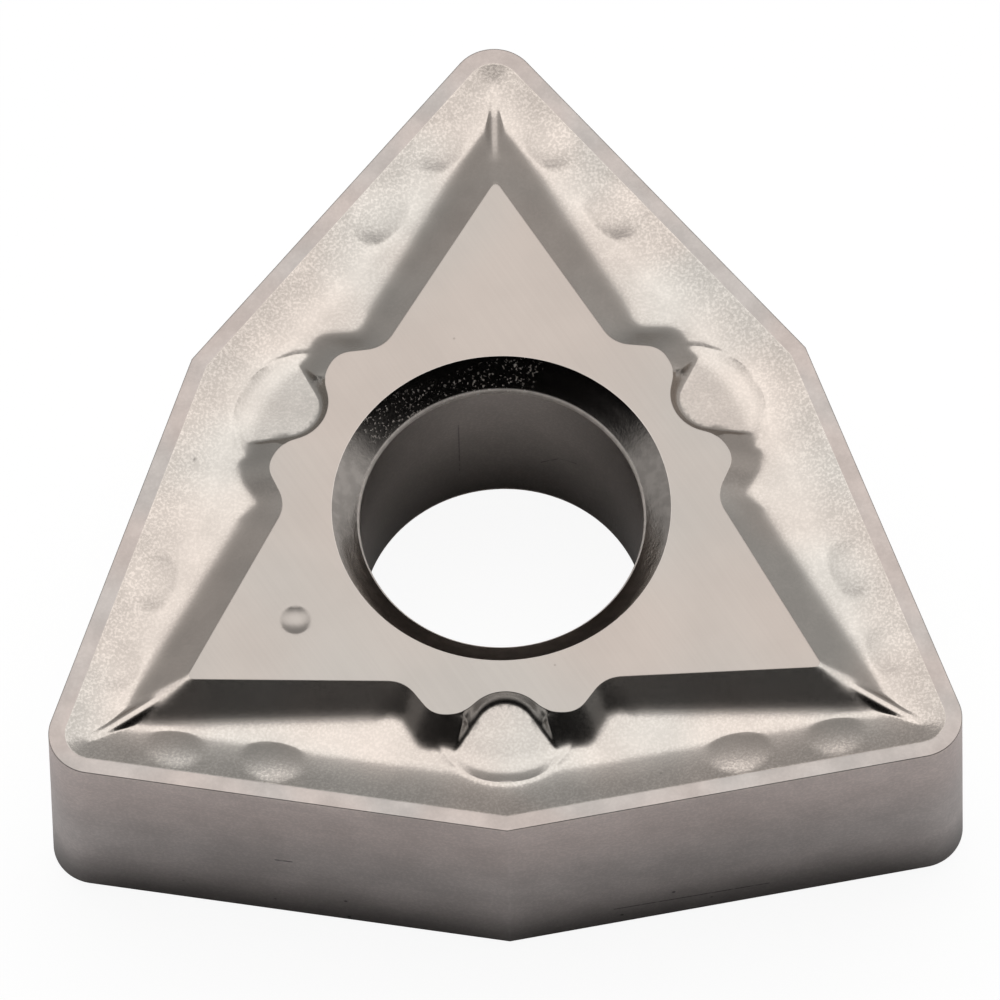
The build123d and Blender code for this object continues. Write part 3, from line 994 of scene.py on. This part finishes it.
def scratch_group():
    """One straight scratch between two points, broken up along its run."""
    tree, given, result = shader_group(
        "Scratch", {"Place": ORIGIN, "Start": ORIGIN, "End": (1e-3, 0, 0), "Width": 2e-5},
        ("Scratch",),
    )
    run = with_vectors(tree, "SUBTRACT", given["End"], given["Start"])
    past = with_vectors(tree, "SUBTRACT", given["Place"], given["Start"])
    along = ratio(
        tree, with_vectors(tree, "DOT_PRODUCT", past, run),
        with_vectors(tree, "DOT_PRODUCT", run, run),
    )
    share = add_node(tree, "ShaderNodeClamp", {0: along}).outputs[0]
    away = with_vectors(tree, "DISTANCE", past, scaled(tree, run, share))
    line = smooth_step(tree, away, given["Width"], product(tree, given["Width"], SCRATCH_CORE))
    breaks = noise(tree, given["Place"], BREAK_SIZE, detail=2.0)
    broken = product(tree, line, smooth_step(tree, breaks, 0.30, 0.50))
    tree.links.new(broken, result["Scratch"])
    return tree


def ring_group():
    """Band round the bore axis at one radius."""
    tree, given, result = shader_group(
        "Ring", {"Place": ORIGIN, "Radius": 2.6e-3, "Width": 5e-5}, ("Ring",)
    )
    flat = with_vectors(tree, "MULTIPLY", given["Place"], (1, 1, 0))
    away = calculate(tree, "SUBTRACT", with_vectors(tree, "LENGTH", flat), given["Radius"])
    off = calculate(tree, "ABSOLUTE", away)
    half = product(tree, given["Width"], 0.5)
    tree.links.new(smooth_step(tree, off, given["Width"], half), result["Ring"])
    return tree


def tone_group():
    """Base colour made lighter or darker, and a little warmer or cooler."""
    tree, given, result = shader_group(
        "Toned metal", {"Base": (0.5, 0.5, 0.5, 1), "Tone": 1.0, "Warmth": 0.5}, ("Colour",),
        "Color",
    )
    tint = add_node(
        tree, "ShaderNodeMix", {0: given["Warmth"], 6: COOL_TINT, 7: WARM_TINT}, data_type="RGBA"
    ).outputs[2]
    toned = scaled(tree, given["Base"], given["Tone"])
    tree.links.new(with_vectors(tree, "MULTIPLY", toned, tint), result["Colour"])
    return tree


class Finish:
    """One metallic finish, put together from the shared groups."""

    def __init__(self, name, base, roughness, groups):
        self.name = name
        self.material = bpy.data.materials.new(name.capitalize())
        self.material.use_nodes = True
        self.tree = self.material.node_tree
        self.shader = self.tree.nodes["Principled BSDF"]
        self.shader.inputs["Metallic"].default_value = 1.0
        self.base = (*base, 1)
        self.groups = groups
        self.place = self.tree.nodes.new("ShaderNodeTexCoord").outputs["Object"]
        self.tone = 1.0
        self.roughness = roughness
        self.warmth = 0.5
        self.height = None

    def group(self, name, **values):
        """Outputs of a shared group, read at this surface."""
        inputs = {key.capitalize(): value for key, value in values.items()}
        node = add_node(
            self.tree, "ShaderNodeGroup", {"Place": self.place, **inputs},
            node_tree=self.groups[name],
        )
        return node.outputs

    def multiply_tone(self, share, low, high):
        """Takes the tone from low to high with share."""
        self.tone = product(self.tree, self.tone, blend_values(self.tree, share, low, high))

    def height_share(self, low, high):
        """Share that eases from 0 to 1 between two heights in millimetres."""
        z = add_node(self.tree, "ShaderNodeSeparateXYZ", {0: self.place}).outputs["Z"]
        return smooth_step(self.tree, z, low * MM, high * MM)

    def tone_by(self, name, output, low, high, **values):
        """Takes the tone from low to high with an output of a shared group."""
        outputs = self.group(name, **values)
        self.multiply_tone(outputs[output], low, high)
        return outputs

    def band(self, start, end, width):
        """Mask of a broken straight band, given in millimetres."""
        start, end = [v * MM for v in start], [v * MM for v in end]
        return self.group("Scratch", start=start, end=end, width=width * MM)["Scratch"]

    def scratches(self, tone):
        """Darkens the scratches that this finish has."""
        for finish, *band in SCRATCHES:
            if finish == self.name:
                self.multiply_tone(self.band(*band), 1.0, tone)

    def done(self, depth):
        """Links tone, roughness and the hills, and returns the material."""
        toned = add_node(
            self.tree, "ShaderNodeGroup",
            {"Base": self.base, "Tone": self.tone, "Warmth": self.warmth},
            node_tree=self.groups["Toned metal"],
        )
        bump = add_node(self.tree, "ShaderNodeBump", {"Distance": depth, "Height": self.height})
        inputs = self.shader.inputs
        feed(self.tree, inputs["Base Color"], toned.outputs["Colour"])
        feed(self.tree, inputs["Roughness"], self.roughness)
        feed(self.tree, inputs["Normal"], bump.outputs[0])
        return self.material


def pressed_finish(finish):
    """Sintered skin of groove, walls and pockets, grainiest next to the land."""
    tree = finish.tree
    inset = add_node(tree, "ShaderNodeAttribute", attribute_name=INSET).outputs["Fac"]
    near_land = smooth_step(tree, inset, 1.35 * MM, 0.45 * MM)
    grain = finish.group("Sintered grain", size=5.0e-5)
    strength = blend_values(tree, near_land, 0.06, 0.22)
    lighter = product(tree, total(tree, grain["Fleck"], -USUAL_FLECK), strength)
    finish.tone = total(tree, lighter, 1.0)
    patches = finish.tone_by("Uneven patches", "Light", 0.94, 1.05, size=0.9e-3)
    finish.tone_by("Small pits", "Pit", 1.0, 0.45, spacing=0.35e-3, radius=3.0e-5, share=0.03)
    finish.scratches(0.3)
    finish.warmth = patches["Warmth"]
    finish.roughness = blend_values(tree, grain["Fleck"], 0.27, 0.23)
    finish.height = product(tree, grain["Hills"], blend_values(tree, near_land, 0.3, 1.0))
    return finish.done(depth=2.2e-6)


def land_finish(finish):
    """Honed land with broad soft patches and a few pits."""
    patches = finish.tone_by("Uneven patches", "Light", 0.92, 1.07, size=0.6e-3)
    finish.tone_by("Small pits", "Pit", 1.0, 0.6, spacing=0.5e-3, radius=4.0e-5, share=0.08)
    finish.warmth = patches["Warmth"]
    grain = finish.tone_by("Sintered grain", "Fleck", 0.965, 1.02, size=6.0e-5)
    finish.height = grain["Hills"]
    return finish.done(depth=2e-6)


def seat_finish(finish):
    """Ground seat with faint diagonal grinding lines and a few small pits."""
    lines = finish.tone_by(
        "Grinding lines", "Lines", 0.988, 1.01, direction=radians(58), spacing=6e-5, run=4e-3
    )
    patches = finish.tone_by("Uneven patches", "Light", 0.975, 1.025, size=1.6e-3)
    finish.tone_by("Small pits", "Pit", 1.0, 0.72, spacing=0.9e-3, radius=3.5e-5, share=0.12)
    finish.warmth = patches["Warmth"]
    finish.height = lines["Lines"]
    return finish.done(depth=3e-7)


def flank_finish(finish):
    """Flank, rosier at the edge, with painted light that makes it paler towards the edge, painted
    shade that makes it darker low down, and pits low down.
    """
    tree = finish.tree
    # Painted shade: the flank darkens towards its lower edge
    finish.multiply_tone(finish.height_share(-2.4, -0.8), 0.40, 1.0)
    # Painted light: the flank grows paler towards its upper edge
    finish.multiply_tone(finish.height_share(0.0, 2.2), 1.06, 1.19)
    finish.tone_by(
        "Grinding lines", "Lines", 0.98, 1.015, direction=radians(10), spacing=1.2e-4, run=2e-3
    )
    finish.tone_by("Uneven patches", "Light", 0.93, 1.06, size=1.1e-3)
    pitted = product(tree, finish.height_share(-0.9, -1.9), 0.22)
    finish.tone_by("Small pits", "Pit", 1.0, 0.35, spacing=0.33e-3, radius=5.0e-5, share=pitted)
    finish.scratches(0.3)
    finish.warmth = blend_values(tree, finish.height_share(-0.5, 1.6), 0.1, 1.0)
    grain = finish.tone_by("Sintered grain", "Fleck", 0.94, 1.05, size=6.0e-5)
    finish.height = grain["Hills"]
    return finish.done(depth=3e-6)


def countersink_finish(finish, bore_radius):
    """Turned cone with sparkling flecks, and a painted highlight: a bright ring at the bore edge.
    """
    tree = finish.tree
    grain = finish.group("Sintered grain", size=5.5e-5)
    spark = product(
        tree, smooth_step(tree, grain["Hills"], 0.58, 0.66), finish.band(*SPARKLES)
    )
    finish.tone_by(
        "Grinding lines", "Lines", 0.90, 1.08, direction=0.0, spacing=2e-4, run=2e-4
    )
    finish.multiply_tone(spark, 1.0, 1.5)
    # Painted highlight: a bright, non-metallic ring along the rounded bore edge
    painted_highlight = finish.tone_by("Ring", "Ring", 1.0, 1.9, radius=bore_radius, width=0.06 * MM)["Ring"]
    feed(tree, finish.shader.inputs["Metallic"], calculate(tree, "SUBTRACT", 1.0, painted_highlight))
    finish.roughness = blend_values(tree, spark, finish.roughness, 0.60)
    finish.height = grain["Hills"]
    return finish.done(depth=2e-6)


def bore_finish(finish):
    """Wall of the bore, with painted shade that darkens it towards the far end."""
    # Painted shade: the bore wall darkens towards its far, lower end
    finish.multiply_tone(finish.height_share(-2.6, 1.0), 0.30, 1.0)
    finish.tone_by("Uneven patches", "Light", 0.94, 1.05, size=1.2e-3)
    grain = finish.tone_by("Sintered grain", "Fleck", 0.92, 1.06, size=5.0e-5)
    finish.scratches(0.55)
    finish.height = grain["Hills"]
    return finish.done(depth=3e-6)


def finish_materials(colours, bore_radius):
    """One material for each finish, by name."""
    groups = {}
    for make in (
        grain_group, patches_group, grinding_group, pits_group, scratch_group, ring_group,
        tone_group,
    ):
        group = make()
        groups[group.name] = group
    recipes = (
        (pressed_finish, colours.pressed, 0.25), (land_finish, colours.land, 0.30),
        (seat_finish, colours.ground, 0.30), (flank_finish, colours.flank, 0.36),
        (lambda finish: countersink_finish(finish, bore_radius), colours.polish, 0.16),
        (bore_finish, colours.bore, 0.30),
    )
    return {
        name: recipe(Finish(name, base, roughness, groups))
        for name, (recipe, base, roughness) in zip(FINISHES, recipes)
    }


class INSERT_OT_build(bpy.types.Operator):
    """Builds the whole insert from one wedge and gives it its finishes"""

    bl_idname = "insert.build"
    bl_label = "Build Insert"

    def execute(self, context):
        form = FaceForm(context.scene)
        wedge = bpy.data.objects.new("wedge", WedgeMesh(form).to_mesh("wedge"))
        context.scene.collection.objects.link(wedge)
        tree = symmetry_tree()
        repeat = wedge.modifiers.new("Insert from one wedge", "NODES")
        repeat.node_group = tree
        materials = finish_materials(context.scene.finishcolours, form.bore_diameter / 2 * MM)
        given = {"Noses": 3, "Weld distance": 2e-6, **materials}
        for socket in tree.interface.items_tree:
            if socket.name in given:
                repeat[socket.identifier] = given[socket.name]
        graph = context.evaluated_depsgraph_get()
        mesh = bpy.data.meshes.new_from_object(wedge.evaluated_get(graph), depsgraph=graph)
        bpy.data.objects.remove(wedge)
        mesh.attributes.remove(mesh.attributes["finish"])
        press_mark(mesh, form)
        if not all(material in mesh.materials[:] for material in materials.values()):
            raise RuntimeError("a finish has no faces")
        piece = bpy.data.objects.new("carbide_insert", mesh)
        context.scene.collection.objects.link(piece)
        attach(piece, BODY)
        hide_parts(NODE)
        return {"FINISHED"}


def add_camera(scene, studio):
    """Camera at the photograph's place and angle."""
    camera = bpy.data.objects.new("camera", bpy.data.cameras.new("camera"))
    camera.data.lens = studio.lens
    camera.data.sensor_width = 36
    camera.data.clip_start = 0.01
    camera.data.clip_end = 20
    eye, aim = Vector(studio.eye), Vector(studio.aim)
    camera.location = eye
    camera.rotation_mode = "QUATERNION"
    camera.rotation_quaternion = (aim - eye).to_track_quat("-Z", "Y") @ Quaternion(
        (0, 0, 1), studio.roll
    )
    scene.collection.objects.link(camera)
    scene.camera = camera


def add_softbox(scene, studio):
    """Overhead softbox that faces the insert."""
    light = bpy.data.lights.new("softbox", "AREA")
    light.shape = "RECTANGLE"
    light.size, light.size_y = studio.box_size
    light.energy = studio.box_radiance * pi * light.size * light.size_y
    softbox = bpy.data.objects.new("softbox", light)
    softbox.location = studio.box_centre
    softbox.rotation_mode = "QUATERNION"
    softbox.rotation_quaternion = (-Vector(studio.box_centre)).to_track_quat("-Z", "Y")
    scene.collection.objects.link(softbox)


def add_room(scene):
    """Room light: grey behind with a halo, dark overhead but for a strip, paler low down."""
    world = bpy.data.worlds.new("room")
    world.use_nodes = True
    tree = world.node_tree
    direction = tree.nodes.new("ShaderNodeTexCoord").outputs["Generated"]
    parts = dict(add_node(tree, "ShaderNodeSeparateXYZ", {0: direction}).outputs.items())
    parts["aside"] = calculate(tree, "ABSOLUTE", parts["X"])
    bands = {
        name: smooth_step(tree, parts[part], start, full)
        for name, (part, start, full) in ROOM_BANDS.items()
    }
    bands["halo"] = product(tree, bands["halo height"], bands["halo width"])
    bands["strip"] = product(tree, bands["strip width"], bands["strip length"])
    lit = {name: product(tree, bands[name], level) for name, level in ROOM_LEVELS.items()}
    grey = blend_values(tree, bands["height"], *GREY_BEHIND)
    back = total(tree, grey, lit["right"], lit["halo"])
    front = total(tree, lit["overhead"], lit["low"], lit["horizon"], lit["strip"])
    shade = blend_values(tree, bands["behind"], front, back)
    background = tree.nodes["Background"]
    tree.links.new(shade, background.inputs["Strength"])
    background.inputs["Color"].default_value = (1, 1, 1, 1)
    scene.world = world


def add_floor(scene, studio):
    """Plain pale floor under the insert, lit up a little for the camera only."""
    half, low = FLOOR_HALF, cad_low.z
    corners = [(-half, -half, low), (half, -half, low), (half, half, low), (-half, half, low)]
    mesh = bpy.data.meshes.new("floor")
    mesh.from_pydata(corners, [], [(0, 1, 2, 3)])
    floor = bpy.data.objects.new("floor", mesh)
    scene.collection.objects.link(floor)
    material = bpy.data.materials.new("Pale floor")
    material.use_nodes = True
    tree = material.node_tree
    shader = tree.nodes["Principled BSDF"]
    shader.inputs["Base Color"].default_value = (*studio.floor, 1)
    shader.inputs["Roughness"].default_value = 0.9
    shader.inputs["Specular IOR Level"].default_value = 0.0
    glow = add_node(
        tree, "ShaderNodeEmission", {"Color": (1, 1, 1, 1), "Strength": FLOOR_GLOW}
    )
    seen = tree.nodes.new("ShaderNodeLightPath").outputs["Is Camera Ray"]
    share = product(tree, seen, GLOW_SHARE)
    mix = add_node(
        tree, "ShaderNodeMixShader",
        {0: share, 1: shader.outputs["BSDF"], 2: glow.outputs["Emission"]},
    )
    output = tree.nodes["Material Output"]
    tree.links.new(mix.outputs["Shader"], output.inputs["Surface"])
    mesh.materials.append(material)


class INSERT_OT_stage(bpy.types.Operator):
    """Sets up the camera, the soft light and the pale floor"""

    bl_idname = "insert.stage"
    bl_label = "Set Up Studio"

    def execute(self, context):
        scene = context.scene
        studio = scene.studiosettings
        add_camera(scene, studio)
        add_softbox(scene, studio)
        add_room(scene)
        add_floor(scene, studio)
        scene.view_settings.view_transform = "Standard"
        return {"FINISHED"}


class INSERT_PT_panel(bpy.types.Panel):
    """Lists the steps that build the insert and its studio"""

    bl_label = "Trigon Carbide Insert"
    bl_idname = "INSERT_PT_panel"
    bl_space_type = "VIEW_3D"
    bl_region_type = "UI"
    bl_category = "Insert"

    def draw(self, context):
        for operator in OPERATORS:
            self.layout.operator(operator.bl_idname)
        for group in SETTINGS:
            box = self.layout.box()
            for name in group.__annotations__:
                box.prop(getattr(context.scene, group.__name__.lower()), name)


SETTINGS = (*SIZE_GROUPS, FinishColours, StudioSettings)
OPERATORS = (INSERT_OT_build, INSERT_OT_stage)


def register():
    """Registers the classes and hangs the settings on the scene."""
    for cls in (*SETTINGS, *OPERATORS, INSERT_PT_panel):
        bpy.utils.register_class(cls)
    for group in SETTINGS:
        setattr(bpy.types.Scene, group.__name__.lower(), PointerProperty(type=group))


def unregister():
    """Takes the settings and the classes away again."""
    for group in SETTINGS:
        delattr(bpy.types.Scene, group.__name__.lower())
    for cls in reversed((*SETTINGS, *OPERATORS, INSERT_PT_panel)):
        bpy.utils.unregister_class(cls)


def main():
    """Registers the add-on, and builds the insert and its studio."""
    register()
    bpy.ops.insert.build()
    bpy.ops.insert.stage()


if __name__ == "__main__":
    main()
